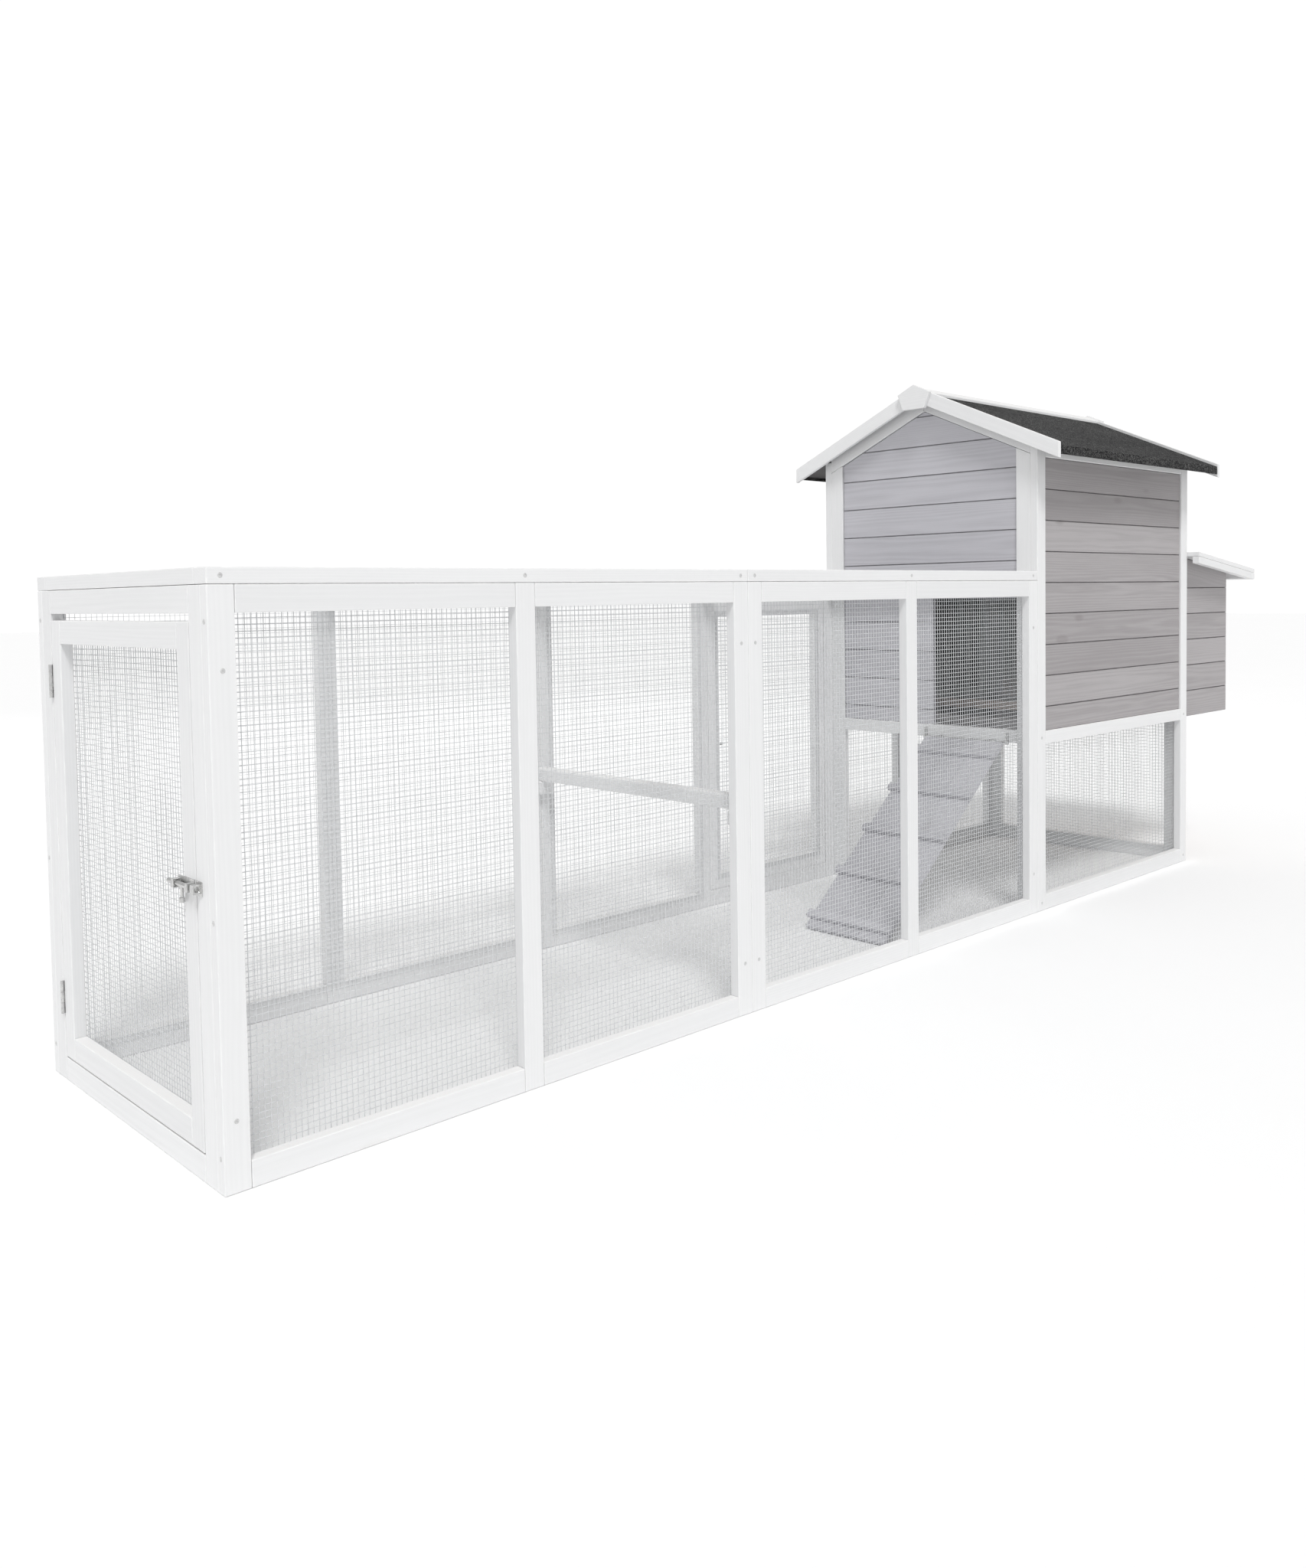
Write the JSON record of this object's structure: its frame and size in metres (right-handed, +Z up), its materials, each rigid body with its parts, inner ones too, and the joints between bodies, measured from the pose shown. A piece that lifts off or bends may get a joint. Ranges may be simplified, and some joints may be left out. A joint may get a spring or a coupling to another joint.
{
  "type": "chicken coop",
  "caption": "Timber chicken coop: long wire-mesh run with end door, raised planked house with a gabled felt roof, ramp and outside nest box with a sloping lid.",
  "frame": {"origin": "on the ground, midway between the outermost points in X and Y", "axes": "+X from the run's end door to the nest box, +Y from the front to the back, +Z up"},
  "size_m": [3.683, 0.8884, 1.4641],
  "materials": {
    "white_paint": "white paint on softwood, satin",
    "grey_paint": "grey stain on softwood boards, matt",
    "bare_timber": "planed softwood, unpainted",
    "wire_mesh": "zinc-coated welded mesh",
    "zinc_steel": "bright zinc plate",
    "roof_felt": "mineral-surfaced bitumen felt"
  },
  "bodies": {
    "coop": {"run_perch": "white_paint", "run_front_frame_a": "white_paint", "run_front_frame_b": "white_paint", "run_back_frame_a": "white_paint", "run_back_frame_b": "white_paint", "run_end_frame": "white_paint", "run_top_frame_a": "white_paint", "run_top_frame_b": "white_paint", "house_front_frame": "white_paint", "house_back_frame": "white_paint", "run_gable_frame": "white_paint", "nest_gable_frame": "white_paint", "bargeboards": "white_paint", "ridge_cap": "white_paint", "ridge_blocks": "white_paint", "floor_joists": "white_paint", "house_front_planks": "grey_paint", "house_back_planks": "grey_paint", "run_gable_planks": "grey_paint", "nest_gable_planks": "grey_paint", "nest_walls": "grey_paint", "roof_boards": "grey_paint", "floor_boards": "grey_paint", "pop_runners": "grey_paint", "house_roost": "bare_timber", "nest_floor": "bare_timber", "nest_divider": "bare_timber", "run_front_mesh_a": "wire_mesh", "run_front_mesh_b": "wire_mesh", "run_back_mesh_a": "wire_mesh", "run_back_mesh_b": "wire_mesh", "run_top_mesh": "wire_mesh", "house_mesh": "wire_mesh", "hinge_leaves": "zinc_steel", "hinge_pins": "zinc_steel", "bolt_keepers": "zinc_steel", "frame_screws": "zinc_steel", "roof_felt": "roof_felt"},
    "end_door": {"end_door_frame": "white_paint", "end_door_mesh": "wire_mesh", "end_door_leaves": "zinc_steel", "end_door_bolt_case": "zinc_steel"},
    "end_door_bolt": {"end_door_bolt": "zinc_steel"},
    "run_door": {"run_door_frame": "white_paint", "run_door_mesh": "wire_mesh", "run_door_leaves": "zinc_steel", "run_door_bolt_case": "zinc_steel"},
    "run_door_bolt": {"run_door_bolt": "zinc_steel"},
    "house_door": {"house_door_frame": "white_paint", "house_door_planks": "grey_paint", "house_door_leaves": "zinc_steel", "house_door_bolt_case": "zinc_steel"},
    "house_door_bolt": {"house_door_bolt": "zinc_steel"},
    "nest_lid": {"nest_lid": "white_paint", "nest_lid_leaves": "zinc_steel"},
    "pop_door": {"pop_door": "bare_timber"},
    "ramp": {"ramp_board": "grey_paint", "ramp_cleats": "grey_paint", "ramp_straps": "zinc_steel"}
  },
  "joints": [
    {"name": "end_door_hinge", "type": "hinge", "parent": "coop", "child": "end_door", "pos_m": [-1.832, 0.2945, 0.45], "axis": [0, 0, -1], "range_deg": [0, 170]},
    {"name": "end_door_bolt_slide", "type": "slide", "parent": "end_door", "child": "end_door_bolt", "axis": [0, -1, 0], "range_m": [0, 0.02]},
    {"name": "run_door_hinge", "type": "hinge", "parent": "coop", "child": "run_door", "pos_m": [0.4372, 0.3635, 0.45], "axis": [0, 0, -1], "range_deg": [0, 150]},
    {"name": "run_door_bolt_slide", "type": "slide", "parent": "run_door", "child": "run_door_bolt", "axis": [-1, 0, 0], "range_m": [0, 0.02]},
    {"name": "house_door_hinge", "type": "hinge", "parent": "coop", "child": "house_door", "pos_m": [1.358, 0.3635, 0.86], "axis": [0, 0, -1], "range_deg": [0, 120]},
    {"name": "house_door_bolt_slide", "type": "slide", "parent": "house_door", "child": "house_door_bolt", "axis": [-1, 0, 0], "range_m": [0, 0.02]},
    {"name": "nest_lid_hinge", "type": "hinge", "parent": "coop", "child": "nest_lid", "pos_m": [1.403, 0, 0.9925], "axis": [0, -1, 0], "range_deg": [0, 70]},
    {"name": "pop_door_slide", "type": "slide", "parent": "coop", "child": "pop_door", "axis": [0, -1, 0], "range_m": [0, 0.2908]},
    {"name": "ramp_hinge", "type": "hinge", "parent": "coop", "child": "ramp", "pos_m": [0.4725, -0.138, 0.458], "axis": [0, 1, 0], "range_deg": [0, 70]}
  ]
}
